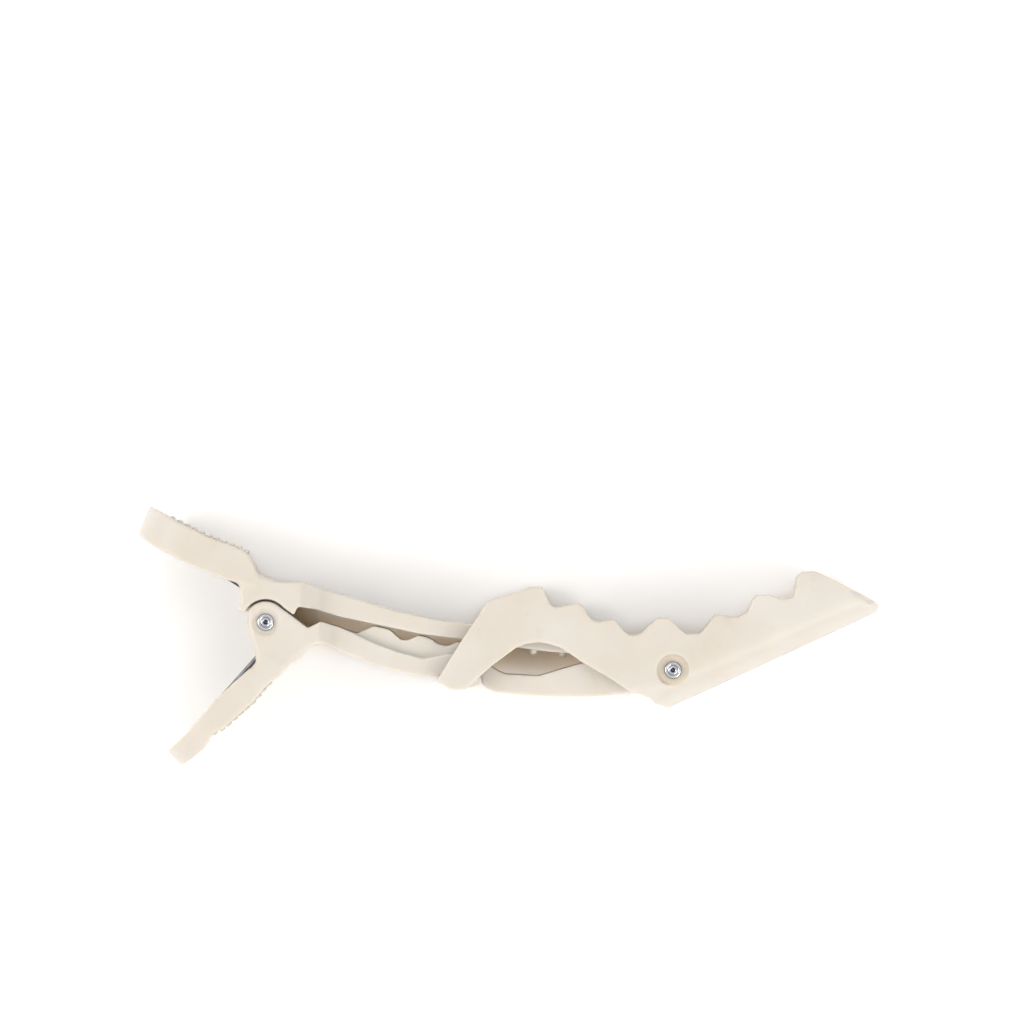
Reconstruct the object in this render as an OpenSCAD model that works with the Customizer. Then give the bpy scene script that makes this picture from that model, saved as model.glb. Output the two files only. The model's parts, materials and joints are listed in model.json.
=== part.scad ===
// Double-hinged sectioning clip for hair, lying on its side, closed.
// +X runs towards the tip, +Z is up, both hinge pins stand along Z, and the floor is z = 0.
// Side outlines are drawn about the rear hinge; frame() then moves them to the middle of the clip.

/* [Levers] */
// Width of the two finger pads, mm
pad_w = 16.6; // [16.2:0.1:17.2]
// Width of the hinge block, mm
block_w = 16; // [15.6:0.1:16.2]
// Thickness of the rim that runs round each pad, mm
rim_t = 1.2; // [1:0.1:1.5]
// Thickness of each outer ear of the lower lever, mm
ear_t = 2; // [1.8:0.1:2.1]
// Thickness of each inner lug of the upper lever, mm
lug_t = 1.8; // [1.4:0.1:2]
// Side gap between ear and lug, and between boss and arm, mm
side_gap = 0.2; // [0.15:0.05:0.3]
// Width of the flange on the lower arm at the block, mm
flange_w = 12; // [11.4:0.1:12.4]
// Width of the lower arm's channel near the block, mm
channel_w = 9.1; // [8.8:0.1:9.3]
// Width of the lower arm's channel at the front hinge, mm
channel_front_w = 8.2; // [8:0.1:8.4]
// Wall thickness of the lower arm's channel, mm
wall_t = 1.4; // [1.2:0.1:1.5]
// Diameter of the lower arm's lugs round the front rivet, mm
lug_d = 5.2; // [4.8:0.1:5.4]
// Width of the upper arm behind the tongue, mm
arm_w = 10; // [9.6:0.1:10.4]
// Width of the upper arm's tongue, mm
tongue_w = 4.4; // [4:0.1:4.6]

/* [Front jaw] */
// Width of the jaw over its cross bar, mm
jaw_rear_w = 15.3; // [15:0.1:15.6]
// Width of the jaw at the front hinge, mm
jaw_mid_w = 13.3; // [13.1:0.1:13.6]
// Width of the jaw near the tip, mm
jaw_tip_w = 12.1; // [11.8:0.1:12.4]
// Thickness of each cheek, mm
cheek_t = 1.85; // [1.7:0.05:1.9]
// Radius of the rounded roof over the front half, mm
roof_r = 8; // [7.8:0.1:8.6]
// Thickness of the roof, mm
roof_t = 1.4; // [1.2:0.1:1.6]

/* [Rivets] */
// Shank diameter of both rivets, mm
rivet_d = 2; // [1.8:0.1:2.2]
// Head diameter of both rivets, mm
rivet_head_d = 2.6; // [2.5:0.1:3]
// Radial clearance of each running fit on a rivet, mm
run_gap = 0.05; // [0.03:0.01:0.08]
// Diameter of the recess round the rear rivet's head, mm
rear_recess_d = 4.2; // [3.8:0.1:4.6]
// Diameter of the recess round the front rivet's head, mm
front_recess_d = 4.9; // [4.4:0.1:5]

/* [Spring] */
// Wire diameter, mm
wire_d = 0.8; // [0.7:0.05:0.9]
// Mean radius of the coil, mm
coil_r = 2.55; // [2.4:0.05:2.6]
// Number of turns
coil_turns = 6; // [4:1:7]

/* [Grip strip] */
// Width of the soft strip under the tongue, mm
strip_w = 3.4; // [3:0.1:3.6]
// Thickness of the strip, mm
strip_t = 0.5; // [0.4:0.05:0.6]
// Diameter of each nub, mm
nub_d = 1.2; // [1:0.1:1.3]
// Spacing of the nubs along the strip, mm
nub_pitch = 4.55; // [4.2:0.05:5]

/* [Hidden] */
$fn = 64;

half_z = pad_w / 2;
middle = [37.6, -2.15];
front = [62.8, -7.4];
ear_in = block_w / 2 - ear_t;
lug_out = ear_in - side_gap;
ivory = [0.93, 0.89, 0.82];
steel = [0.72, 0.72, 0.74];
dark_steel = [0.42, 0.42, 0.45];
silicone = [0.90, 0.86, 0.79];

// Pad directions, degrees, and how far each pad reaches from the rear hinge, mm.
upper_dir = 155;
lower_dir = 221;
upper_reach = 23.9;
lower_reach = 24.7;

// Underside of the upper arm from where the strip starts, and the same line used for the strip.
under = [
    [38.5, -3.88], [42, -4.4], [44.9, -4.7], [55, -5.4], [63, -5.4], [70, -4.4], [75, -2.8], [80, -0.2],
    [84, 1.88]];

// Lower lever, side outlines.
lower_handle = [
    [-15.3, -19.9], [-12.4, -17.3], [-9.6, -14.2], [-8, -12.3], [-5, -9.4], [-1.6, -6.4], [0.5, -5],
    [3.5, -6.5], [1.7, -8.6], [0, -9.9], [-1.9, -12.3], [-4.4, -14.5], [-6.5, -16.4], [-7.7, -16.9],
    [-8.5, -17.7], [-9.6, -19.6], [-11.4, -21.1], [-13.2, -22.3]];
lower_handle_room = [
    [-14.1, -21.2], [-12.3, -20], [-10.5, -18.4], [-8.6, -15.8], [-5.3, -13.4], [-2.8, -11.2],
    [-1.2, -9.1], [-1.75, -6.2], [-6, -4], [-22, -16], [-22, -22]];
lower_block = [
    [-2.6, 0.6], [-2.5, -0.4], [-2.1, -2.2], [-1.6, -4], [-1.5, -6.2], [-0.2, -9.2], [0.8, -9], [2.1, -7.7],
    [3.4, -6.6], [4.7, -5.8], [6, -4.3], [7.2, -3.5], [8.5, -3.2], [9.8, -3.7], [9.8, -0.3], [8.5, 0.1],
    [6.5, -0.9], [3.9, 1.1], [2.2, 2.32], [0, 2]];
lower_block_room = [
    [-2.8, -11.2], [-0.9, -8.8], [1.3, -6.6], [3.9, -4.7], [5.1, -3.2], [6.7, -2.05], [8.4, -1.8], [8.4, 5],
    [-8, 5], [-8, -8]];
lower_flange = [
    [8, -0.1], [8.5, 0.1], [11.4, -0.8], [13.8, -1.8], [16.9, -3.3], [20.4, -4.6], [24.4, -5.6], [26, -5.3],
    [28, -4.9], [29.3, -4.8], [29.3, -8.3], [26.3, -8.3], [24.2, -8.5], [21.8, -7.9], [16.7, -6.8],
    [13.5, -5.4], [11.1, -4.3], [8.5, -3.2]];
lower_arm = [
    [9, -0.5], [14.1, -1.7], [16.7, -0.6], [19, -1.1], [20.8, -2.7], [21.9, -2.8], [23.5, -2.05],
    [24.5, -2.2], [25.7, -2.7], [26.4, -3.3], [27.5, -3.6], [28.4, -3.6], [29.5, -3], [31.4, -3.3],
    [34.9, -6.9], [36, -7.6], [36.9, -8], [42.1, -8.3], [48.8, -6.3], [61.5, -5.2], [62, -9.3],
    [60.9, -10.9], [56.4, -11], [53.3, -11.3], [49.3, -11.5], [45.4, -11.5], [40.4, -11.3], [37, -11],
    [35.4, -10.8], [34.2, -10.3], [33.3, -9.6], [33.2, -8.3], [26.3, -8.3], [24.2, -8.5], [21.8, -7.9],
    [16.7, -6.8], [13.5, -5.4], [11.1, -4.3], [9, -3.4]];
lower_arm_room = [
    [8, 5], [8, -1.8], [11.1, -2.9], [14.5, -4.5], [19.7, -5.9], [24, -6.9], [25.2, -6.2], [34, -6.2],
    [35, -8.6], [37, -9.5], [40.4, -9.9], [49.3, -10.1], [56.4, -9.6], [61.2, -9.4], [61.2, -13], [67, -13],
    [67, 5]];

// Upper lever, side outlines.
upper_handle = [
    [-18.2, 18], [-16.3, 17], [-12.8, 15.1], [-8.6, 13], [-4.1, 11.4], [-3.1, 10.9], [-1.8, 8.9],
    [-1.4, 7.5], [-1.4, 5.5], [-4.1, 5.9], [-6.8, 6.9], [-10, 8.1], [-13.8, 9.9], [-17.4, 11.7],
    [-19.5, 13.2], [-19.7, 13.7]];
upper_handle_room = [
    [-18.8, 16.7], [-16.9, 15.7], [-13.4, 13.8], [-9.2, 11.7], [-4.9, 10.2], [-4.4, 5], [-8, 4], [-24, 10],
    [-24, 15]];
upper_block = [
    [-3.1, 10.8], [-1.8, 8.9], [-1.4, 7.5], [1.5, 6.2], [3.4, 6.1], [5.6, 6.2], [8.4, 5], [8.4, 1.75],
    [7.8, 1.9], [4.9, 2.4], [4.4, 1.08], [3.9, 1.42], [2.6, 2.35], [0, 1.5], [-3.3, 1.5], [-4.2, 1.9],
    [-3.8, 3.2], [-4, 5.4], [-4.1, 7]];
upper_block_room = [
    [-6, 10.2], [-4.6, 10], [-3.9, 9.5], [-3.1, 8.1], [-2.7, 6.5], [0.9, 4.8], [4.6, 4.7], [4.6, -4],
    [-8, -4], [-8, 6]];
upper_lug = [[-2.6, 0], [2.6, 0], [4.8, 4.9], [0.9, 5], [-2.5, 6.6]];
upper_arm = [
    [7.4, 5.4], [15.4, 3.1], [20, 1.7], [27.1, 0.1], [32.3, -0.4], [42, -1.6], [48, -2.2], [55, -2.7],
    [63, -2.9], [70, -2], [75, -0.3], [80, 2.2], [84.6, 4.6], [85.6, 2.7], [84, 1.88], [80, -0.2],
    [75, -2.8], [70, -4.4], [63, -5.4], [55, -5.4], [44.9, -4.7], [42, -4.4], [38.5, -3.88],
    [29.8, -2.6], [23.6, -1.8], [19.1, -0.8], [16.7, -0.3], [11.4, 0.8], [7.4, 2]];

// Front jaw, side outline: cross bar, leg, hump, toothed edge, beak, tip, vertex and arch.
jaw_side = [
    [26.6, -9.2], [26.5, -8.8], [30.3, -2.7], [32.7, 0.8], [33.5, 2.2], [34.4, 3.3], [36, 3.8], [39.2, 4.7],
    [40.7, 5.4], [42.7, 5.4], [43.1, 4.3], [43.7, 3], [44.4, 2.3], [45.4, 2.3], [48.2, 2.9], [49, 2.4],
    [49.8, 0.8], [50.6, 0.2], [51.5, 0], [53, 0.3], [53.9, 0.3], [54.8, -0.9], [55.8, -1.9], [56.9, -2.1],
    [58, -1.7], [59.3, -0.4], [60.4, 0.5], [61.1, 0.6], [62.1, 0.5], [62.9, -0.1], [64, -1.2], [64.9, -1.9],
    [67, -1.8], [67.8, -0.9], [68.7, 0.3], [69.6, 1.2], [72.7, 0.6], [74.4, 1.5], [75.1, 3.4], [75.8, 4.1],
    [77.9, 4.2], [79.9, 3.5], [81.4, 3.8], [81.8, 5.4], [82, 6.9], [83, 7.7], [84.9, 7.8], [92.3, 4.2],
    [94.8, 2.7], [94.4, 1.4], [90.3, -0.4], [62.1, -13.4], [60.4, -12.8], [58.8, -11.9], [56.4, -10.9],
    [53.3, -8.8], [48.8, -6.2], [46.4, -4.5], [45.4, -3.9], [43.7, -3.4], [42.1, -3.1], [40.1, -3.4],
    [38.7, -3.9], [34.9, -6.7], [32, -9.3], [30.8, -10.3], [29.3, -10.5], [28.3, -10.3]];
bar_flank = [[29, -10.2], [31, -10.2], [32.3, -9.95], [32.9, -9.6], [32.9, -8.5], [29, -8.5]];
window_corner = [
    [58.8, -11.9], [60.4, -12.8], [62.1, -13.4], [62.6, -12.5], [61, -11.3], [59.2, -11.25]];
roof_angle = 24.75;
roof_foot = [62.1, -13.4];

function both_sides(p) = concat(p, [for (i = [len(p) - 1 : -1 : 0]) [p[i][0], -p[i][1]]]);
function under_y(x) = lookup(x, under);
function raised(p, dy) = [for (i = [len(p) - 1 : -1 : 0]) [p[i][0], p[i][1] + dy]];

// Puts a part drawn about the rear hinge and the middle plane into the clip's own frame.
module frame() {
    translate([-middle[0], -middle[1], half_z]) children();
}

// A side outline given a width, centred on the middle plane.
module side(points, width) {
    translate([0, 0, -width / 2]) linear_extrude(width) polygon(points);
}

// A plan outline, [distance along, half width], run through the whole height.
module plan(points) {
    rotate([90, 0, 0]) linear_extrude(90, center = true) polygon(both_sides(points));
}

// A slab with a half-round end, seen square on, in the direction of a finger pad.
module pad_slab(direction, reach, width) {
    rotate([0, 0, direction]) rotate([90, 0, 0]) linear_extrude(60, center = true) {
        translate([reach - width / 2, 0]) circle(d = width);
        translate([-6, -width / 2]) square([reach - width / 2 + 6, width]);
    }
}

// A pin across the clip at a point, from one half height to another, on both sides.
module across(at, d, low, high) {
    translate([at[0], at[1], low]) cylinder(d = d, h = high - low);
    translate([at[0], at[1], -high]) cylinder(d = d, h = high - low);
}

module bore(at, d) {
    translate([at[0], at[1], -12]) cylinder(d = d, h = 24);
}

// A long bar with a round underside: used for the outside and the inside of the jaw's roof.
module roof_bar(radius, lift, half_width) {
    translate([roof_foot[0], roof_foot[1], 0]) rotate([0, 0, roof_angle]) rotate([90, 0, 90])
    translate([0, 0, -8]) linear_extrude(60) {
        translate([radius + lift, 0]) circle(r = radius);
        translate([radius + lift, -half_width]) square([30, 2 * half_width]);
    }
}

module lower_lever() color(ivory) frame() {
    difference() {
        union() {
            // Finger pad with a rim, open towards the other pad.
            difference() {
                intersection() {
                    side(lower_handle, pad_w);
                    pad_slab(lower_dir, lower_reach, pad_w);
                }
                intersection() {
                    side(lower_handle_room, pad_w - 2 * rim_t);
                    pad_slab(lower_dir, lower_reach - rim_t, pad_w - 2 * rim_t);
                }
                side(lower_block_room, 2 * ear_in);
            }
            // Hinge block: two ears on a closed outer web.
            difference() {
                union() {
                    intersection() {
                        side(lower_block, block_w);
                        plan([[-6, block_w / 2], [8.2, block_w / 2], [9.9, flange_w / 2]]);
                    }
                    intersection() {
                        translate([0, 0, -block_w / 2]) cylinder(r = 3.2, h = block_w);
                        translate([-2.6, -1, -block_w]) cube([6, 5, 2 * block_w]);
                    }
                }
                side(lower_block_room, 2 * ear_in);
                side(lower_arm_room, channel_w - 2 * wall_t);
            }
            // Arm: flange, then a channel with toothed walls that ends in two lugs.
            difference() {
                union() {
                    intersection() {
                        side(lower_flange, 16);
                        plan([[8, flange_w / 2], [29.3, 5.45]]);
                    }
                    intersection() {
                        union() {
                            side(lower_arm, 16);
                            bore(front, lug_d);
                        }
                        plan([[8, channel_w / 2], [62.8, channel_front_w / 2], [67, channel_front_w / 2]]);
                    }
                }
                intersection() {
                    side(lower_arm_room, 12);
                    plan([[6, channel_w / 2 - wall_t], [62.8, channel_front_w / 2 - wall_t],
                        [70, channel_front_w / 2 - wall_t]]);
                }
            }
            // Rest for the spring's lower leg.
            side([[-9.2, -15.6], [-8.4, -15.2], [-6.9, -12.5], [-8.1, -13.85]], pad_w - 2 * rim_t + 0.4);
        }
        // Recesses round the rivet heads, and the rivet holes.
        across([0, 0], rear_recess_d, block_w / 2 - 0.4, 12);
        bore([0, 0], rivet_d);
        bore(front, rivet_d);
        // Dished oval on the flange's outer face.
        translate([11.1, -4.3, 0]) rotate([0, 0, -18.4]) translate([7.1, 0.4, 0]) rotate([90, 0, 0])
        union() {
            translate([-3.6, 0, 0]) cylinder(r = 2.6, h = 3);
            translate([3.6, 0, 0]) cylinder(r = 2.6, h = 3);
            translate([-3.6, -2.6, 0]) cube([7.2, 5.2, 3]);
        }
        // Seat for the jaw's cross bar, and the shallow panel in front of it.
        translate([26.3, -9, -3.1]) cube([6.9, 1.3, 6.2]);
        translate([38, -13, -2.85]) cube([22, 2.1, 5.7]);
    }
}

module upper_lever() color(ivory) frame() {
    difference() {
        union() {
            difference() {
                union() {
                    intersection() {
                        side(upper_handle, pad_w);
                        pad_slab(upper_dir, upper_reach, pad_w);
                    }
                    intersection() {
                        side(upper_block, block_w);
                        plan([[-6, block_w / 2], [5.3, block_w / 2], [8.5, arm_w / 2 - 0.3]]);
                    }
                    intersection() {
                        side(upper_arm, 20);
                        plan([[7, arm_w / 2], [30, arm_w / 2], [48.5, 4.3], [51.5, tongue_w / 2],
                            [88, tongue_w / 2]]);
                    }
                }
                intersection() {
                    side(upper_handle_room, pad_w - 2 * rim_t);
                    pad_slab(upper_dir, upper_reach - rim_t, pad_w - 2 * rim_t);
                }
                side(upper_block_room, 2 * ear_in);
                // Clearance for the lower lever's ears.
                bore([0, 0], 7.1);
            }
            // Inner lugs on the pin.
            intersection() {
                union() {
                    side(upper_lug, 2 * lug_out);
                    translate([0, 0, -lug_out]) cylinder(r = 2.9, h = 2 * lug_out);
                }
                union() {
                    translate([-8, -8, lug_out - lug_t]) cube([20, 20, lug_t]);
                    translate([-8, -8, -lug_out]) cube([20, 20, lug_t]);
                }
            }
            // Rest for the spring's upper leg.
            side([[-13.4, 14.2], [-10.9, 13], [-11.2, 11.05], [-12, 11.5]], pad_w - 2 * rim_t + 0.4);
        }
        bore([0, 0], rivet_d + 2 * run_gap);
        // Groove for the grip strip.
        side(concat([for (p = under) [p[0], p[1] - 1]], raised(under, strip_t)), strip_w + 0.1);
    }
}

module front_jaw() color(ivory) frame() {
    inner_rear = jaw_rear_w / 2 - cheek_t;
    inner_mid = jaw_mid_w / 2 - cheek_t;
    inner_tip = jaw_tip_w / 2 - cheek_t;
    difference() {
        union() {
            difference() {
                intersection() {
                    side(jaw_side, 20);
                    plan([[26, jaw_rear_w / 2], [32.8, jaw_rear_w / 2 - 0.15], [62.8, jaw_mid_w / 2],
                        [92, jaw_tip_w / 2], [96, jaw_tip_w / 2]]);
                }
                // Rounded roof over the front half, fading out along the cheeks' lower edges.
                difference() {
                    translate([56, -30, -12]) cube([45, 60, 24]);
                    roof_bar(roof_r, 0, roof_r);
                }
                // Rounded tip.
                difference() {
                    translate([87, -30, -12]) cube([20, 60, 24]);
                    translate([86.8, 30, 0]) rotate([90, 0, 0]) cylinder(r = 8, h = 60);
                }
                // Room between the legs above the cross bar, and the open window.
                intersection() {
                    plan([[20, inner_rear], [32.8, inner_rear - 0.15], [62.8, inner_mid], [66, inner_mid]]);
                    union() {
                        translate([20, -8.5, -12]) cube([20, 30, 24]);
                        translate([32.8, -30, -12]) cube([28.7, 60, 24]);
                    }
                }
                // Channel under the roof.
                intersection() {
                    plan([[60, inner_mid + 0.1], [62.8, inner_mid], [88, inner_tip], [91, 2.4]]);
                    roof_bar(roof_r - roof_t, roof_t, roof_r - roof_t);
                }
            }
            // Front flank of the cross bar, between the legs.
            side(bar_flank, 2 * inner_rear + 0.4);
            // Corners of the window, carried down to the vertex.
            difference() {
                intersection() {
                    side(window_corner, 2 * inner_mid + 0.4);
                    roof_bar(roof_r, 0, roof_r);
                }
                translate([50, -30, -3]) cube([20, 60, 6]);
            }
            // Bosses that keep the cheeks off the lower arm.
            intersection() {
                across(front, 4.4, channel_front_w / 2 + side_gap, jaw_mid_w / 2 - 1);
                side(jaw_side, 20);
            }
        }
        bore(front, rivet_d + 2 * run_gap);
        // Clearance inside the roof for the lower arm's lugs.
        translate([front[0], front[1], -channel_front_w / 2 - side_gap])
            cylinder(d = lug_d + 0.5, h = channel_front_w + 2 * side_gap);
        across(front, front_recess_d, jaw_mid_w / 2 - 0.5, 12);
    }
}

// A turned rivet: shank, two flat heads and a dimple in each.
module rivet(at, head_low, head_high) {
    translate([at[0], at[1], 0]) rotate_extrude()
    polygon([[0, -head_high + 0.25], [rivet_head_d / 5, -head_high + 0.2], [rivet_head_d / 3.6, -head_high],
        [rivet_head_d / 2 - 0.15, -head_high], [rivet_head_d / 2, -head_high + 0.15],
        [rivet_head_d / 2, -head_low], [rivet_d / 2 + 0.01, -head_low],
        [rivet_d / 2 + 0.01, head_low], [rivet_head_d / 2, head_low],
        [rivet_head_d / 2, head_high - 0.15], [rivet_head_d / 2 - 0.15, head_high],
        [rivet_head_d / 3.6, head_high], [rivet_head_d / 5, head_high - 0.2], [0, head_high - 0.25]]);
}

module rear_rivet() color(steel) frame() {
    rivet([0, 0], block_w / 2 - 0.4, block_w / 2 - 0.05);
}

module front_rivet() color(steel) frame() {
    rivet(front, jaw_mid_w / 2 - 0.4, jaw_mid_w / 2 - 0.05);
}

// A straight length of wire that leaves the coil at one angle and runs in one direction.
module leg(leave, direction, length, z) {
    translate([coil_r * cos(leave), coil_r * sin(leave), z]) rotate([0, 0, direction]) rotate([0, 90, 0])
    cylinder(d = wire_d - 0.08, h = length);
}

module rear_spring() color(dark_steel) frame() {
    half = coil_turns * wire_d / 2;
    thick = wire_d / 2;
    // Close-wound coil round the rear rivet, with a groove between one turn and the next.
    difference() {
        translate([0, 0, -half]) cylinder(r = coil_r + thick, h = 2 * half);
        translate([0, 0, -half - 1]) cylinder(r = coil_r - thick, h = 2 * half + 2);
        for (i = [1 : coil_turns - 1]) translate([0, 0, -half + i * wire_d]) rotate_extrude()
            polygon([[coil_r + 0.6, -0.1], [coil_r + 0.2, -0.01], [coil_r + 0.2, 0.01], [coil_r + 0.6, 0.1]]);
    }
    // The lower leg leaves under the coil and the upper leg leaves over it.
    leg(-41.5, 228.5, 14.6, -half + wire_d / 2);
    leg(57, 147, 15.4, half - wire_d / 2);
}

module grip_strip() color(silicone) frame() {
    side(concat(under, raised(under, strip_t + 0.02)), strip_w);
    // Two rows of round-ended nubs, left out where the tongue passes over the front rivet.
    for (i = [0, 1, 2, 3, 6, 7, 8, 9]) for (z = [-1, 1]) {
        x = 41.3 + i * nub_pitch;
        translate([x, under_y(x) - 0.2, z]) sphere(d = nub_d);
        translate([x, under_y(x) - 0.2, z]) rotate([-90, 0, 0]) cylinder(d = nub_d, h = 0.45);
    }
}

lower_lever();
upper_lever();
front_jaw();
rear_rivet();
front_rivet();
rear_spring();
grip_strip();
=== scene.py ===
# %% [markdown]
# # A double-hinged sectioning clip
# The clip is three ivory plastic mouldings, two steel rivets, one torsion spring and a soft grip
# strip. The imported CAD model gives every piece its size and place. This script keeps those sizes
# and adds what a mould and years in a salon add: soft edges, pimpled finger pads, a wound spring,
# turned rivet heads and the plastic's own uneven tint.

import json
import math

import bmesh
import bpy
from mathutils import Matrix, Vector
from mathutils.bvhtree import BVHTree


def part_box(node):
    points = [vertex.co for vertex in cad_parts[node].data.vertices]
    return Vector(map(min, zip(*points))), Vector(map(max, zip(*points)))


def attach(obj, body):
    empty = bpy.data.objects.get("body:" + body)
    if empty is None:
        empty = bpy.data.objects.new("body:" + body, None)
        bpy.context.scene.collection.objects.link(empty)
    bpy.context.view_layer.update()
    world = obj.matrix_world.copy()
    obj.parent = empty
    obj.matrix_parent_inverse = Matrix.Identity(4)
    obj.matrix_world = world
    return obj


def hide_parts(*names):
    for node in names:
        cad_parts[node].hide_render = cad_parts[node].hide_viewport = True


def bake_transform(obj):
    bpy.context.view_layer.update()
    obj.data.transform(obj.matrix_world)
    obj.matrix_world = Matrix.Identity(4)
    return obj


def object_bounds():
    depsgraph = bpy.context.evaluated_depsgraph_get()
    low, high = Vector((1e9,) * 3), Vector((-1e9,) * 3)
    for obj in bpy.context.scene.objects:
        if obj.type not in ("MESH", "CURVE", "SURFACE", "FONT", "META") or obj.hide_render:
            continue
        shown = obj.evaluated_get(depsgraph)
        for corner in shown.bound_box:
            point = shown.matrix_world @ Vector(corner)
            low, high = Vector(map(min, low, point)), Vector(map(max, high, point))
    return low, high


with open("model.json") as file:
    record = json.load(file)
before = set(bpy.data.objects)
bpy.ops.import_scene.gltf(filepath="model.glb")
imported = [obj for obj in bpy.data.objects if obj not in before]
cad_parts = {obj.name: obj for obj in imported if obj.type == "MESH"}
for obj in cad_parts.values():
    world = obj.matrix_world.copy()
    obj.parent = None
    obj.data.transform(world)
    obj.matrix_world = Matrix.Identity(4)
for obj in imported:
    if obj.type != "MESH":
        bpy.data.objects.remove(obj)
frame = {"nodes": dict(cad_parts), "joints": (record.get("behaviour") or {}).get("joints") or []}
CAD_LOW, CAD_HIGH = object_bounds()
print("CAD box, mm:", [round(1000 * (h - l), 1) for l, h in zip(CAD_LOW, CAD_HIGH)])

# %% [markdown]
# ## The driving dimensions
# Both hinge pins stand along Z. Their places come from the model's joints, so the rivets, the
# spring and the finger pads are all measured from them. One millimetre is a named value, because
# every length below is thought of in millimetres.

# %% Named values
MM = 0.001
JOINTS = {joint["name"]: Vector(joint["pos_m"]) for joint in frame["joints"]}
REAR = JOINTS["rear_hinge"]
FRONT = JOINTS["front_hinge"]
MIDDLE_Z = REAR.z
PAD_WIDTH = CAD_HIGH.z - CAD_LOW.z
UP = Vector((0, 0, 1))
print("rear pin at", tuple(round(c / MM, 2) for c in REAR), "mm")

# %% [markdown]
# ## From bmesh to object
# A mesh that is built or changed in a bmesh has to be written to an object before it shows. Every
# object stays at the origin, with its place in its mesh. Modifiers are turned into plain mesh as
# soon as they have done their work, so that later steps can go on from the shape they gave.

# %% Object helpers
def about_rear(x, y, z=0.0):
    """A point given in mm from the rear pin and the clip's middle plane."""
    return Vector((REAR.x + x * MM, REAR.y + y * MM, MIDDLE_Z + z * MM))


def new_object(name, bm):
    """Writes a bmesh to a new object at the origin, shaded smooth."""
    mesh = bpy.data.meshes.new(name)
    bm.to_mesh(mesh)
    bm.free()
    mesh.shade_smooth()
    piece = bpy.data.objects.new(name, mesh)
    bpy.context.scene.collection.objects.link(piece)
    return piece


def settle(piece):
    """Replaces a piece's mesh by the one its modifiers give, and drops the modifiers."""
    bpy.context.view_layer.update()
    shaped = piece.evaluated_get(bpy.context.evaluated_depsgraph_get())
    mesh = bpy.data.meshes.new_from_object(shaped)
    piece.modifiers.clear()
    piece.data = mesh
    mesh.shade_smooth()


# %% [markdown]
# ## Building materials from small nodes
# Every finish on the clip is a Principled shader fed by noise on Object coordinates, which are
# metres on the piece and move with it. An image could be wrapped round each piece instead, but
# these patterns need no unwrapping and never stretch. A few helpers add one node each.

# %% Shader helpers
def material_with(name):
    """A new node material: its tree, its Principled shader and an Object-coordinate output."""
    material = bpy.data.materials.new(name)
    material.use_nodes = True
    tree = material.node_tree
    shader = tree.nodes["Principled BSDF"]
    coords = tree.nodes.new("ShaderNodeTexCoord")
    return material, tree, shader, coords.outputs["Object"]


def noise(tree, coords, scale, detail=3.0, roughness=0.5):
    """A noise pattern whose scale is in features per metre."""
    node = tree.nodes.new("ShaderNodeTexNoise")
    node.inputs["Scale"].default_value = scale
    node.inputs["Detail"].default_value = detail
    node.inputs["Roughness"].default_value = roughness
    tree.links.new(coords, node.inputs["Vector"])
    return node.outputs["Fac"]


def ramp(tree, value, stops):
    """Colours along a value: stops are (place, colour)."""
    node = tree.nodes.new("ShaderNodeValToRGB")
    ends = node.color_ramp.elements
    while len(ends) < len(stops):
        ends.new(0.5)
    for end, (place, colour) in zip(ends, stops):
        end.position = place
        end.color = (*colour, 1.0)
    tree.links.new(value, node.inputs["Fac"])
    return node.outputs["Color"]


def mixed(tree, share, first, second, how="MIX"):
    """Two colours mixed by a share, which may be a number or a socket."""
    node = tree.nodes.new("ShaderNodeMix")
    node.data_type = "RGBA"
    node.blend_type = how
    if isinstance(share, float):
        node.inputs["Factor"].default_value = share
    else:
        tree.links.new(share, node.inputs["Factor"])
    for socket, colour in ((node.inputs[6], first), (node.inputs[7], second)):
        if isinstance(colour, tuple):
            socket.default_value = (*colour, 1.0)
        else:
            tree.links.new(colour, socket)
    return node.outputs[2]


def bump(tree, shader, height, strength, distance):
    """Adds a bump to a shader's normal."""
    node = tree.nodes.new("ShaderNodeBump")
    node.inputs["Strength"].default_value = strength
    node.inputs["Distance"].default_value = distance
    tree.links.new(height, node.inputs["Height"])
    tree.links.new(node.outputs["Normal"], shader.inputs["Normal"])
    return node


def ranged(tree, value, low, high):
    """Maps a 0 to 1 value to a range."""
    node = tree.nodes.new("ShaderNodeMapRange")
    node.inputs["To Min"].default_value = low
    node.inputs["To Max"].default_value = high
    tree.links.new(value, node.inputs["Value"])
    return node.outputs["Result"]


def from_axis(tree, coords, at):
    """The distance of a point from an upright axis, in metres."""
    centre = tree.nodes.new("ShaderNodeMapping")
    centre.inputs["Location"].default_value = (-at.x, -at.y, 0)
    centre.inputs["Scale"].default_value = (1, 1, 0)
    tree.links.new(coords, centre.inputs["Vector"])
    radius = tree.nodes.new("ShaderNodeVectorMath")
    radius.operation = "LENGTH"
    tree.links.new(centre.outputs["Vector"], radius.inputs[0])
    return radius.outputs["Value"]


# %% [markdown]
# ## Ivory plastic
# The mouldings are a cheap creamy plastic. It isn't one colour: the resin is a little warmer in
# patches, fine dark specks sit in it, grease darkens it where hands keep it, and painted shade
# darkens the recess round each rivet head.
# Light sinks in a millimetre or so before it comes out again. Noise patterns at different sizes do
# the tint, the specks, the smudges and the faint mould texture, and subsurface scattering softens
# the shadows inside the hollows.

# %% Ivory plastic
IVORY = (0.564, 0.525, 0.466)
IVORY_WARM = (0.547, 0.500, 0.429)
IVORY_PALE = (0.588, 0.555, 0.508)
SPECK = (0.30, 0.22, 0.15)
SMUDGE = (0.46, 0.38, 0.29)
# Painted shade: the colour of the recess round a rivet head.
PAINTED_RECESS_SHADE = (0.515, 0.450, 0.350)
BLACK = (0, 0, 0)
WHITE = (1, 1, 1)
SOFT_EDGE = 0.12 * MM


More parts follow.
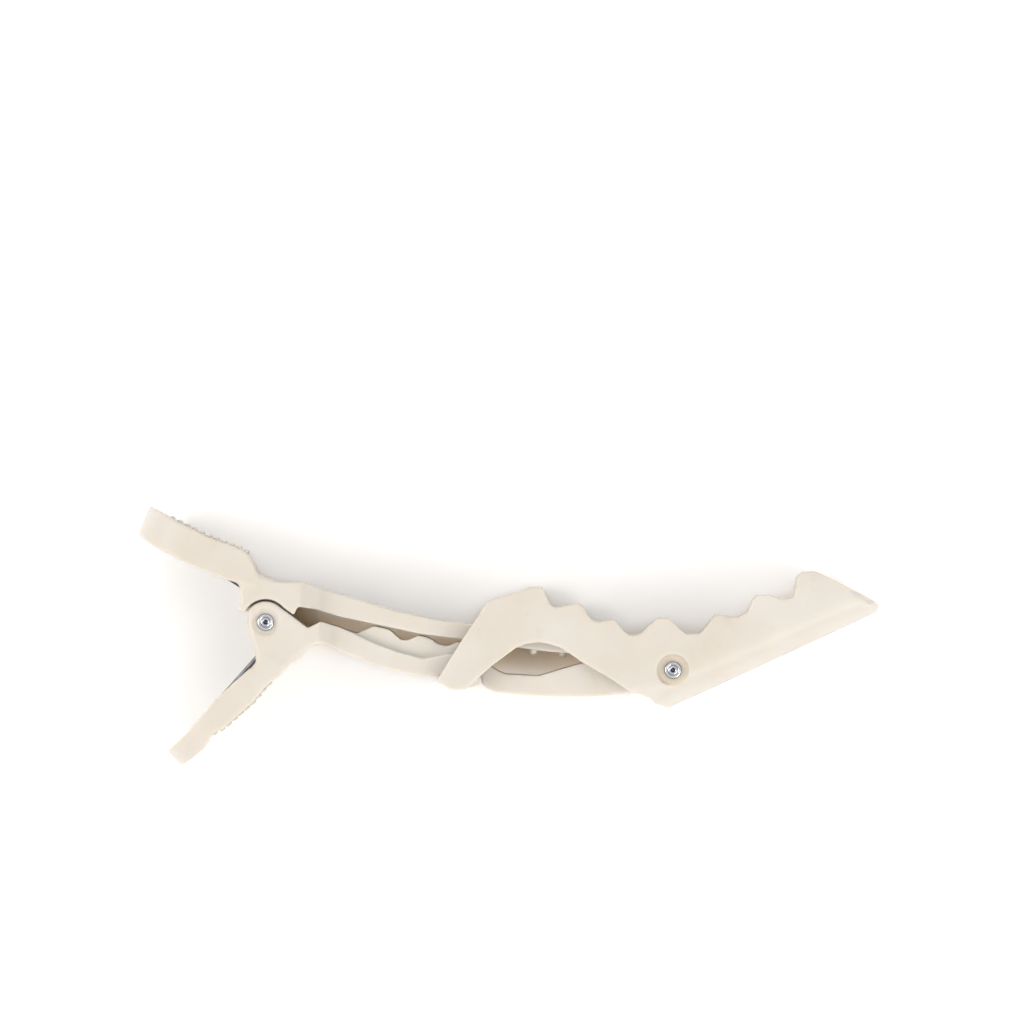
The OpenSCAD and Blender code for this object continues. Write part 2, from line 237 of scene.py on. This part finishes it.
def painted_rivet_shade(tree, coords, colour, at, radius, amount):
    """Painted shade in the recess round a rivet's head, out to a radius, blotched by noise; amount
    is how dark it is.
    """
    edge = tree.nodes.new("ShaderNodeMapRange")
    edge.inputs["From Min"].default_value = radius - SOFT_EDGE
    edge.inputs["From Max"].default_value = radius + SOFT_EDGE
    edge.inputs["To Min"].default_value = 1.0
    edge.inputs["To Max"].default_value = 0.0
    tree.links.new(from_axis(tree, coords, at), edge.inputs["Value"])
    blotches = ranged(tree, noise(tree, coords, 900, 3.0), 0.75 * amount, amount)
    share = tree.nodes.new("ShaderNodeMath")
    share.operation = "MULTIPLY"
    tree.links.new(edge.outputs["Result"], share.inputs[0])
    tree.links.new(blotches, share.inputs[1])
    return mixed(tree, share.outputs["Value"], colour, PAINTED_RECESS_SHADE)


def ivory_plastic(name, recess=None, worn=None):
    """The ivory plastic. recess is a pin, radius and amount of painted shade round a rivet's
    recess; worn returns a share and a colour.
    """
    material, tree, shader, coords = material_with(name)
    patches = noise(tree, coords, 85, 4.0, 0.55)
    tint = ramp(tree, patches, ((0.30, IVORY_WARM), (0.52, IVORY), (0.74, IVORY_PALE)))
    dots = tree.nodes.new("ShaderNodeTexVoronoi")
    dots.inputs["Scale"].default_value = 520
    tree.links.new(coords, dots.inputs["Vector"])
    near = ramp(tree, dots.outputs["Distance"], ((0.045, WHITE), (0.075, BLACK)))
    sparse = ramp(tree, noise(tree, coords, 210, 1.0), ((0.62, BLACK), (0.70, WHITE)))
    speckle = mixed(tree, 1.0, near, sparse, "MULTIPLY")
    rubbed = noise(tree, coords, 140, 6.0, 0.7)
    handled = ramp(tree, rubbed, ((0.58, BLACK), (0.80, (0.45, 0.45, 0.45))))
    dirt_and_shade = mixed(tree, speckle, mixed(tree, handled, tint, SMUDGE), SPECK)
    if recess is not None:
        # Painted shade in the recess round a rivet head, over the plastic's own tint, smudges and
        # specks.
        dirt_and_shade = painted_rivet_shade(tree, coords, dirt_and_shade, *recess)
    if worn is not None:
        share, colour = worn(tree, coords)
        dirt_and_shade = mixed(tree, share, dirt_and_shade, colour)
    tree.links.new(dirt_and_shade, shader.inputs["Base Color"])
    sheen = ranged(tree, noise(tree, coords, 420, 2.0), 0.36, 0.52)
    tree.links.new(sheen, shader.inputs["Roughness"])
    shader.inputs["Specular IOR Level"].default_value = 0.42
    shader.inputs["Subsurface Weight"].default_value = 0.40
    shader.inputs["Subsurface Radius"].default_value = (1.0, 0.64, 0.34)
    shader.inputs["Subsurface Scale"].default_value = 1.6 * MM
    bump(tree, shader, noise(tree, coords, 1500, 4.0, 0.6), 0.10, 0.12 * MM)
    return material


# %% [markdown]
# ## From a sharp solid to a moulding
# Injection moulding never leaves a knife edge: every corner, inside or out, has a small radius. A
# copy of the CAD solid is merged and remeshed into even little squares. A few passes of smoothing
# then pull every edge into a radius of about a quarter of a millimetre, and flat faces stay flat.

# %% Moulding helper
VOXEL = 0.24 * MM
WELD = 0.0005 * MM


def moulding(node, name, passes=3):
    """A soft-edged copy of a CAD node."""
    bm = bmesh.new()
    bm.from_mesh(frame["nodes"][node].data)
    bmesh.ops.remove_doubles(bm, verts=bm.verts, dist=WELD)
    piece = new_object(name, bm)
    squares = piece.modifiers.new("even squares", "REMESH")
    squares.mode = "VOXEL"
    squares.voxel_size = VOXEL
    squares.use_smooth_shade = True
    soften = piece.modifiers.new("mould radius", "SMOOTH")
    soften.factor = 0.5
    soften.iterations = passes
    settle(piece)
    return piece


def relax(piece, chosen, passes):
    """Smooths only the chosen part of a piece, to round it more than a plain mould edge."""
    bm = bmesh.new()
    bm.from_mesh(piece.data)
    corners = [corner for corner in bm.verts if chosen((corner.co - REAR) / MM)]
    for _ in range(passes):
        bmesh.ops.smooth_vert(
            bm, verts=corners, factor=0.5, use_axis_x=True, use_axis_y=True, use_axis_z=True,
        )
    bm.to_mesh(piece.data)
    bm.free()
    piece.data.shade_smooth()
    print("relaxed", len(corners), "corners of", piece.name)


def within(low, high):
    """A test for a box, in mm from the rear pin; Z counts both ways from the middle plane."""
    return lambda p: all(l < c < h for l, c, h in zip(low, (p.x, p.y, abs(p.z)), high))


def finish_moulding(piece, node, body, plastic):
    """Gives a moulding its plastic and puts it in its CAD node's place."""
    piece.data.materials.append(plastic)
    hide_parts(node)
    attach(piece, body)
    print(piece.name, len(piece.data.polygons), "faces")


# %% [markdown]
# ## Pimples on the finger pads
# Both pads carry a square grid of small raised pimples, so wet fingers don't slip. Each one is a
# little round button half sunk in the plastic. A ray cast square on to the pad finds the true
# surface under every grid point, so the pimples follow the pad's gentle bend.

# %% Pimples
PIMPLE_PITCH = 1.54 * MM
PIMPLE_ROW = 1.25 * MM
PIMPLE_RADIUS = 0.40 * MM
PIMPLE_HEIGHT = 0.34 * MM
PIMPLE_EDGE = 1.1 * MM
CAST_FROM = 30 * MM
FACING = 0.8


def pad_spots(surface, degrees, side, first, reach):
    """Grid points over one pad, from first to reach along it: each spot and the way it faces."""
    along = Vector((math.cos(math.radians(degrees)), math.sin(math.radians(degrees)), 0))
    outward = along.cross(UP) * side
    half = PAD_WIDTH / 2 - PIMPLE_EDGE
    columns = int(half / PIMPLE_PITCH + 0.5)
    spots = []
    for row in range(int((reach - first) / PIMPLE_ROW) + 1):
        run = first + row * PIMPLE_ROW
        past = max(0.0, run - (reach + PIMPLE_EDGE - PAD_WIDTH / 2))
        for column in range(-columns, columns):
            across = (column + 0.5) * PIMPLE_PITCH
            if math.hypot(past, across) > half:
                continue
            start = REAR + along * run + UP * across + outward * CAST_FROM
            hit, normal, _, _ = surface.ray_cast(start, -outward)
            if hit is not None and normal.dot(outward) > FACING:
                spots.append((hit, normal))
    return spots


def add_pimples(piece, degrees, side, first, reach):
    """Small round buttons over one pad, joined to its piece."""
    whole = bmesh.new()
    whole.from_mesh(piece.data)
    spots = pad_spots(BVHTree.FromBMesh(whole), degrees, side, first, reach)
    buttons = bmesh.new()
    size = Matrix.Diagonal((PIMPLE_RADIUS, PIMPLE_RADIUS, PIMPLE_HEIGHT, 1))
    for hit, normal in spots:
        place = Matrix.Translation(hit) @ normal.to_track_quat("Z", "X").to_matrix().to_4x4() @ size
        bmesh.ops.create_uvsphere(buttons, u_segments=8, v_segments=6, radius=1, matrix=place)
    grown = bpy.data.meshes.new("buttons")
    buttons.to_mesh(grown)
    buttons.free()
    whole.from_mesh(grown)
    whole.to_mesh(piece.data)
    whole.free()
    piece.data.shade_smooth()
    print(piece.name, "has", len(spots), "pimples")


# %% [markdown]
# ## Lower lever
# The lower lever is the clip's backbone. Its pad, its two ears and its long channel are one
# moulding, and both rivets are set in it. The moulding starts from the CAD solid, and the pimples
# are added to its pad.

# %% Lower lever
# Painted shade in the recess round the rear rivet's head, out to this radius.
REAR_RIVET_SHADE = (REAR, 2.1 * MM, 0.4)
LOWER_PAD_ANGLE = 221

lower = moulding("lower_lever", "lower_lever_moulding")
relax(lower, within((-2.4, -8.2, 7.0), (4.4, -4.0, 9)), 30)
add_pimples(lower, LOWER_PAD_ANGLE, -1, 6.0 * MM, 17.9 * MM)
finish_moulding(lower, "lower_lever", "lower", ivory_plastic("lower lever ivory", REAR_RIVET_SHADE))

# %% [markdown]
# ## Upper lever
# The upper lever turns on the rear rivet. Its arm lies on the lower lever's toothed walls and runs
# on as a narrow tongue between the jaw's cheeks. It is made in the same way.

# %% Upper lever
UPPER_PAD_ANGLE = 155

upper = moulding("upper_lever", "upper_lever_moulding")
relax(upper, within((-5.2, 4.5, 7.0), (0.2, 11.6, 9)), 10)
add_pimples(upper, UPPER_PAD_ANGLE, 1, 7.4 * MM, 20.2 * MM)
finish_moulding(upper, "upper_lever", "upper", ivory_plastic("upper lever ivory"))

# %% [markdown]
# ## Front jaw
# The front jaw rocks on the front rivet. Two toothed cheeks join in a rounded roof at the front
# and in a cross bar at the back, which hooks under the lower arm. A plain mould edge would be too
# sharp where the cheeks turn into the roof, so that ridge alone is smoothed many more times.

# %% Front jaw
ROOF_ANGLE = math.radians(24.75)
ROOF_FOOT = Vector((62.1, -13.4))
FRONT_PIN = (FRONT - REAR) / MM
# Painted shade in the recess round the front rivet's head, out to this radius.
FRONT_RIVET_SHADE = (FRONT, 2.45 * MM, 1.0)
CLEAR_OF_RIVET = 2.9


def above_roof_line(p):
    """How far a point is from the roof's lowest line, square to it, in mm."""
    return (p.y - ROOF_FOOT.y) * math.cos(ROOF_ANGLE) - (p.x - ROOF_FOOT.x) * math.sin(ROOF_ANGLE)


def on_roof_ridge(p):
    """True where a cheek turns into the roof, away from the rivet's recess."""
    clear = math.hypot(p.x - FRONT_PIN.x, p.y - FRONT_PIN.y) > CLEAR_OF_RIVET
    return clear and p.x > 56.5 and 1.6 < above_roof_line(p) < 5.2 and abs(p.z) > 3.0


jaw = moulding("front_jaw", "front_jaw_moulding")
relax(jaw, on_roof_ridge, 90)

# %% [markdown]
# ## Scuffs on the roof
# The roof's lowest line slides on tables and trolleys, so it has a broken grey scuff along it.
# The pattern's frame is turned with a Mapping node until one axis runs along that line. The scuff
# is then where the other axis is near zero and a stretched noise is high.

# %% Scuffs
SCUFF_DEPTH = 0.28 * MM
SCUFF_GREY = (0.34, 0.325, 0.31)


def roof_scuff(tree, coords):
    """Where the roof is scuffed, as a share, and the scuff's colour."""
    turned = tree.nodes.new("ShaderNodeMapping")
    turned.inputs["Rotation"].default_value = (0, 0, -ROOF_ANGLE)
    foot = about_rear(*ROOF_FOOT)
    turned.inputs["Location"].default_value = -(Matrix.Rotation(-ROOF_ANGLE, 3, "Z") @ foot)
    tree.links.new(coords, turned.inputs["Vector"])
    split = tree.nodes.new("ShaderNodeSeparateXYZ")
    tree.links.new(turned.outputs["Vector"], split.inputs["Vector"])
    near = tree.nodes.new("ShaderNodeMapRange")
    near.inputs["From Max"].default_value = SCUFF_DEPTH
    near.inputs["To Min"].default_value = 1.0
    near.inputs["To Max"].default_value = 0.0
    tree.links.new(split.outputs["Y"], near.inputs["Value"])
    stretched = tree.nodes.new("ShaderNodeMapping")
    stretched.inputs["Scale"].default_value = (1.0, 4.0, 2.0)
    tree.links.new(turned.outputs["Vector"], stretched.inputs["Vector"])
    broken = ramp(
        tree, noise(tree, stretched.outputs["Vector"], 420, 5.0, 0.65),
        ((0.47, BLACK), (0.56, (0.9, 0.9, 0.9))),
    )
    return mixed(tree, 1.0, broken, near.outputs["Result"], "MULTIPLY"), SCUFF_GREY


scuffed_ivory = ivory_plastic("front jaw ivory", FRONT_RIVET_SHADE, roof_scuff)
finish_moulding(jaw, "front_jaw", "jaw", scuffed_ivory)

# %% [markdown]
# ## Rivets
# Each rivet is turned steel: a shank, and on each end a domed head with a ring groove and a punched
# dimple. Half of its outline is drawn once as a short chain of edges, mirrored for the other end
# and spun round the pin. The heads keep the CAD rivet's height.

# %% Rivet maker
HEAD_RADIUS = 1.3 * MM
SHANK_RADIUS = 0.99 * MM
RIVET_STEPS = 40


def rivet(name, node, at):
    """A rivet spun round a pin's axis, as long as its CAD node."""
    low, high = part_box(node)
    top = (high.z - low.z) / 2
    head = [
        (0, top - 0.42 * MM), (0.16 * MM, top - 0.40 * MM), (0.30 * MM, top - 0.24 * MM),
        (0.42 * MM, top - 0.06 * MM), (0.52 * MM, top - 0.02 * MM), (0.64 * MM, top - 0.05 * MM),
        (0.72 * MM, top - 0.16 * MM), (0.80 * MM, top - 0.17 * MM), (0.88 * MM, top - 0.05 * MM),
        (0.98 * MM, top), (1.12 * MM, top - 0.02 * MM), (1.24 * MM, top - 0.10 * MM),
        (HEAD_RADIUS, top - 0.22 * MM), (HEAD_RADIUS, top - 0.34 * MM),
        (SHANK_RADIUS, top - 0.345 * MM),
    ]
    bm = bmesh.new()
    outline = head + [(radius, -height) for radius, height in reversed(head)]
    corners = [bm.verts.new((at.x + radius, at.y, MIDDLE_Z + height)) for radius, height in outline]
    for first, second in zip(corners, corners[1:]):
        bm.edges.new((first, second))
    bmesh.ops.spin(
        bm, geom=bm.verts[:] + bm.edges[:], cent=at, axis=UP, dvec=(0, 0, 0),
        angle=2 * math.pi, steps=RIVET_STEPS, use_merge=True, use_duplicate=False,
    )
    bmesh.ops.remove_doubles(bm, verts=bm.verts, dist=0.001 * MM)
    bmesh.ops.recalc_face_normals(bm, faces=bm.faces)
    piece = new_object(name, bm)
    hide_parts(node)
    print(name, round(2 * top / MM, 1), "mm long")
    return piece


# %% [markdown]
# ## Rivet steel
# A rivet head is bright where it is turned and worn. Its dimple, its groove and the edge of its
# rim are darkened with painted shade. A ramp over the distance from the pin's axis gives these
# rings their tone, so they line up with the turned profile. The turned shape alone would shade
# them too, but less darkly than the painted shade does.

# %% Rivet steel
def turned_steel(name, at):
    """Bright steel in rings round its own pin, with painted shade in the dimple, the groove and
    round the rim.
    """
    material, tree, shader, coords = material_with(name)
    share = tree.nodes.new("ShaderNodeMath")
    share.operation = "DIVIDE"
    share.inputs[1].default_value = HEAD_RADIUS
    tree.links.new(from_axis(tree, coords, at), share.inputs[0])
    # The dark stops at the centre, at 0.585 and at the rim are painted shade in the dimple, the
    # groove and round the head's edge; the rest is the steel's own tone.
    steel_and_shade = ramp(
        tree, share.outputs["Value"],
        ((0.0, (0.05, 0.05, 0.06)), (0.20, (0.10, 0.10, 0.11)), (0.31, (0.52, 0.53, 0.57)),
         (0.50, (0.46, 0.47, 0.51)), (0.585, (0.10, 0.10, 0.12)), (0.67, (0.52, 0.53, 0.57)),
         (0.90, (0.60, 0.61, 0.65)), (0.96, (0.22, 0.22, 0.25)), (1.0, (0.10, 0.10, 0.12))),
    )
    tree.links.new(steel_and_shade, shader.inputs["Base Color"])
    shader.inputs["Metallic"].default_value = 1.0
    worn = ranged(tree, noise(tree, coords, 2500, 3.0), 0.16, 0.34)
    tree.links.new(worn, shader.inputs["Roughness"])
    bump(tree, shader, noise(tree, coords, 5000, 2.0), 0.12, 0.02 * MM)
    return material


# %% [markdown]
# ## Both rivets
# The two rivets differ only in length and place. Both are pressed into the lower lever and ride
# with it. Each has its own material, because the rings are centred on its own pin.

# %% Both rivets
for end, pin in (("rear", REAR), ("front", FRONT)):
    turned = rivet(end + "_rivet_turned", end + "_rivet", pin)
    turned.data.materials.append(turned_steel(end + " rivet steel", pin))
    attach(turned, "lower")

# %% [markdown]
# ## Torsion spring
# The spring is one piece of drawn wire. Its coil sits round the rear rivet between the upper
# lever's lugs, and its two legs lie inside the pads and push them apart. A circle of wire is spun
# round the pin with a small rise at each step, which winds a true helix. Each end is then drawn out
# straight as a leg and given a short hook.

# %% Spring
WIRE_RADIUS = 0.38 * MM
COIL_RADIUS = 2.55 * MM
COIL_TURNS = 5
LOWER_LEAVES = math.radians(-41.5)
UPPER_LEAVES = math.radians(57)
LOWER_LEG = 14.0 * MM
UPPER_LEG = 15.0 * MM
WIRE_SIDES = 12
STEPS_PER_TURN = 28
HOOK_BEND = 0.8 * MM


def draw_out(bm, rim, direction, length):
    """Pulls a ring of edges straight out and returns the new ring."""
    grown = bmesh.ops.extrude_edge_only(bm, edges=rim)["geom"]
    corners = [item for item in grown if isinstance(item, bmesh.types.BMVert)]
    bmesh.ops.translate(bm, verts=corners, vec=direction * length)
    return [item for item in grown if isinstance(item, bmesh.types.BMEdge) and item.is_boundary]


def hook(bm, rim, centre):
    """Bends a ring of edges round a centre into a short hook."""
    corners = {corner for edge in rim for corner in edge.verts}
    bmesh.ops.spin(
        bm, geom=list(corners) + rim, cent=centre, axis=UP, dvec=(0, 0, 0),
        angle=math.radians(-50), steps=5, use_merge=False, use_duplicate=False,
    )


def leg_end(angle, direction, length):
    """Where the middle of the wire is at the end of a leg that leaves the coil at an angle."""
    outward = Vector((math.cos(angle), math.sin(angle), 0))
    return REAR + direction * length + outward * COIL_RADIUS


def rear_spring():
    """The wound wire, and the heights of the bottom and the top of its coil."""
    low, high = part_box("rear_spring")
    bottom = low.z + WIRE_RADIUS
    rise = high.z - low.z - 2 * WIRE_RADIUS
    wrap = UPPER_LEAVES - LOWER_LEAVES + COIL_TURNS * 2 * math.pi
    steps = STEPS_PER_TURN * (COIL_TURNS + 1)
    bm = bmesh.new()
    bmesh.ops.create_circle(bm, segments=WIRE_SIDES, radius=WIRE_RADIUS)
    stand = (
        Matrix.Translation((REAR.x, REAR.y, bottom))
        @ Matrix.Rotation(LOWER_LEAVES, 4, "Z")
        @ Matrix.Translation((COIL_RADIUS, 0, 0))
        @ Matrix.Rotation(math.pi / 2, 4, "X")
    )
    bmesh.ops.transform(bm, matrix=stand, verts=bm.verts)
    start = bm.edges[:]
    coil = bmesh.ops.spin(
        bm, geom=bm.verts[:] + start, cent=REAR, axis=UP, dvec=(0, 0, rise / steps),
        angle=wrap, steps=steps, use_merge=False, use_duplicate=False,
    )
    end = [item for item in coil["geom_last"] if isinstance(item, bmesh.types.BMEdge)]
    down = Vector((math.sin(LOWER_LEAVES), -math.cos(LOWER_LEAVES), 0))
    up = Vector((-math.sin(UPPER_LEAVES), math.cos(UPPER_LEAVES), 0))
    lower_tip = draw_out(bm, start, down, LOWER_LEG)
    upper_tip = draw_out(bm, end, up, UPPER_LEG)
    lower_end = leg_end(LOWER_LEAVES, down, LOWER_LEG)
    upper_end = leg_end(UPPER_LEAVES, up, UPPER_LEG)
    hook(bm, lower_tip, lower_end + UP.cross(down) * -HOOK_BEND)
    hook(bm, upper_tip, upper_end + UP.cross(up) * HOOK_BEND)
    rims = [edge for edge in bm.edges if edge.is_boundary]
    bmesh.ops.holes_fill(bm, edges=rims, sides=WIRE_SIDES)
    bmesh.ops.recalc_face_normals(bm, faces=bm.faces)
    piece = new_object("rear_spring_wire", bm)
    print("coil", COIL_TURNS, "turns,", round(rise / MM, 2), "mm long")
    return piece, bottom, bottom + rise


# %% [markdown]
# ## Spring steel
# Spring wire is drawn through a die and heat-treated, which leaves it dark and faintly streaked.
# It is metal like the rivets, but with a darker colour and a softer sheen.

# %% Spring steel
def spring_steel():
    """Dark drawn wire with long faint streaks and a soft sheen."""
    material, tree, shader, coords = material_with("spring steel")
    streaks = noise(tree, coords, 900, 3.0)
    tone = ramp(tree, streaks, ((0.3, (0.16, 0.16, 0.18)), (0.7, (0.34, 0.34, 0.37))))
    tree.links.new(tone, shader.inputs["Base Color"])
    shader.inputs["Metallic"].default_value = 1.0
    tree.links.new(ranged(tree, streaks, 0.28, 0.45), shader.inputs["Roughness"])
    bump(tree, shader, noise(tree, coords, 4000, 2.0), 0.1, 0.02 * MM)
    return material


spring, spring_low, spring_high = rear_spring()
spring.data.materials.append(spring_steel())
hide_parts("rear_spring")
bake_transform(spring)

# %% [markdown]
# ## Grip strip
# A soft strip with two rows of nubs lies under the tongue, where it presses the hair into the jaw.
# Its CAD shape is right as it is, so it only gets its material: soft, a little translucent, and
# glossier than the plastic round it.

# %% Grip strip
def grip_silicone():
    """Soft, glossy and slightly translucent silicone."""
    material, tree, shader, coords = material_with("grip silicone")
    cloud = noise(tree, coords, 300, 3.0)
    tone = ramp(tree, cloud, ((0.3, (0.78, 0.70, 0.57)), (0.7, (0.84, 0.78, 0.66))))
    tree.links.new(tone, shader.inputs["Base Color"])
    tree.links.new(ranged(tree, cloud, 0.18, 0.30), shader.inputs["Roughness"])
    shader.inputs["Subsurface Weight"].default_value = 0.6
    shader.inputs["Subsurface Radius"].default_value = (1.0, 0.7, 0.45)
    shader.inputs["Subsurface Scale"].default_value = 1.5 * MM
    shader.inputs["Coat Weight"].default_value = 0.3
    bump(tree, shader, noise(tree, coords, 1800, 2.0), 0.05, 0.05 * MM)
    return material


strip = frame["nodes"]["grip_strip"]
strip.data.materials.clear()
strip.data.materials.append(grip_silicone())

# %% [markdown]
# ## Table
# The clip lies on a plain white table. The floor is a stage piece, not a part of the object. It is
# slightly uneven in tone, as painted board is. Where the clip shuts out most of the open light, the
# board's colour is painted warm and darker: painted shade, tinted like light that has passed
# through or bounced between walls of ivory plastic. An Ambient Occlusion node finds those places.

# %% Table
# Painted shade: the warm, darker colour the board takes where the clip shuts out the open light.
PAINTED_WARM_SHADE = (1.0, 0.77, 0.50)
PAINTED_SHADE_REACH = 14 * MM
TABLE_HALF = 3.0
TABLE_GAP = 0.02 * MM


def white_board():
    """Painted board, with painted shade in its colour: warm and darker where little open light
    reaches it.
    """
    material, tree, shader, coords = material_with("white board")
    cloud = noise(tree, coords, 3, 2.0)
    tone = ramp(tree, cloud, ((0.3, (0.94, 0.93, 0.925)), (0.7, (0.96, 0.95, 0.945))))
    open_sky = tree.nodes.new("ShaderNodeAmbientOcclusion")
    open_sky.samples = 8
    open_sky.inputs["Distance"].default_value = PAINTED_SHADE_REACH
    # Painted shade and bounce light: the board's colour turns warm and darker where the AO node
    # finds the clip close above.
    warm_shade_tint = ramp(tree, open_sky.outputs["AO"], ((0.17, PAINTED_WARM_SHADE), (0.34, WHITE)))
    tree.links.new(mixed(tree, 1.0, tone, warm_shade_tint, "MULTIPLY"), shader.inputs["Base Color"])
    shader.inputs["Roughness"].default_value = 0.75
    shader.inputs["Specular IOR Level"].default_value = 0.2
    return material


def table_top():
    """A wide flat table just under the clip."""
    bm = bmesh.new()
    bmesh.ops.create_grid(bm, x_segments=1, y_segments=1, size=TABLE_HALF)
    piece = new_object("table_top", bm)
    piece.location.z = CAD_LOW.z - TABLE_GAP
    piece.data.materials.append(white_board())
    print("table at", round(piece.location.z / MM, 2), "mm")


table_top()

# %% [markdown]
# ## Light
# The light is a light tent's: white cloth that is brightest half way up, dim near the table and dim
# straight overhead, where the camera looks in. One large soft lamp on the near side throws a faint
# shadow, and a weaker one on the left fills the space between the finger pads.

# %% Light
def soft_lamp(name, place, aim, size, power, colour):
    """A rectangular area lamp that faces a point."""
    lamp = bpy.data.lights.new(name, "AREA")
    lamp.shape = "RECTANGLE"
    lamp.size, lamp.size_y = size
    lamp.energy = power
    lamp.color = colour
    holder = bpy.data.objects.new(name, lamp)
    holder.location = place
    holder.rotation_euler = (aim - place).to_track_quat("-Z", "Y").to_euler()
    bpy.context.scene.collection.objects.link(holder)
    print(name, power, "W")


def surround(strength, steel_and_shade):
    """White light all round; rings give how bright it is by the sine of its height."""
    world = bpy.data.worlds.new("white surround")
    world.use_nodes = True
    tree = world.node_tree
    coords = tree.nodes.new("ShaderNodeTexCoord")
    height = tree.nodes.new("ShaderNodeSeparateXYZ")
    tree.links.new(coords.outputs["Generated"], height.inputs["Vector"])
    shades = tuple((place, (shade, 0.995 * shade, 0.99 * shade)) for place, shade in steel_and_shade)
    sky = tree.nodes["Background"]
    tree.links.new(ramp(tree, height.outputs["Z"], shades), sky.inputs["Color"])
    sky.inputs["Strength"].default_value = strength
    bpy.context.scene.world = world


surround(1.45, ((0.0, 0.12), (0.3, 0.45), (0.55, 1.0), (0.88, 1.0), (0.97, 0.25)))
AIM = Vector((0, 0, MIDDLE_Z))
NEAR_LAMP = Vector((0.62, -0.52, 0.50))
LEFT_LAMP = Vector((-0.85, 0.05, 0.45))
soft_lamp("near lamp", NEAR_LAMP, AIM, (0.8, 0.5), 4.5, (1.0, 0.99, 0.975))
soft_lamp("left lamp", LEFT_LAMP, AIM, (0.5, 0.4), 4.0, (1.0, 0.995, 0.99))

# %% [markdown]
# ## Camera
# The camera looks straight down with a long lens, so the clip shows its side outline almost
# without perspective. The clip sits below the middle of the picture.

# %% Camera
LENS = 400
SENSOR = 36
VIEW_WIDTH = 158.1 * MM
CAMERA_MIDDLE = about_rear(37.98, 16.98)
ABOVE_MIDDLE = 4 * MM


def camera():
    """A long lens straight above the clip, as far up as makes the view VIEW_WIDTH wide."""
    data = bpy.data.cameras.new("camera")
    data.lens = LENS
    data.sensor_width = SENSOR
    data.clip_start = 0.05
    data.clip_end = 20
    holder = bpy.data.objects.new("camera", data)
    up = MIDDLE_Z + ABOVE_MIDDLE + VIEW_WIDTH * LENS / SENSOR
    holder.location = (CAMERA_MIDDLE.x, CAMERA_MIDDLE.y, up)
    bpy.context.scene.collection.objects.link(holder)
    bpy.context.scene.camera = holder
    print("camera", round(holder.location.z, 3), "m up")


camera()
bpy.context.scene.view_settings.view_transform = "Standard"
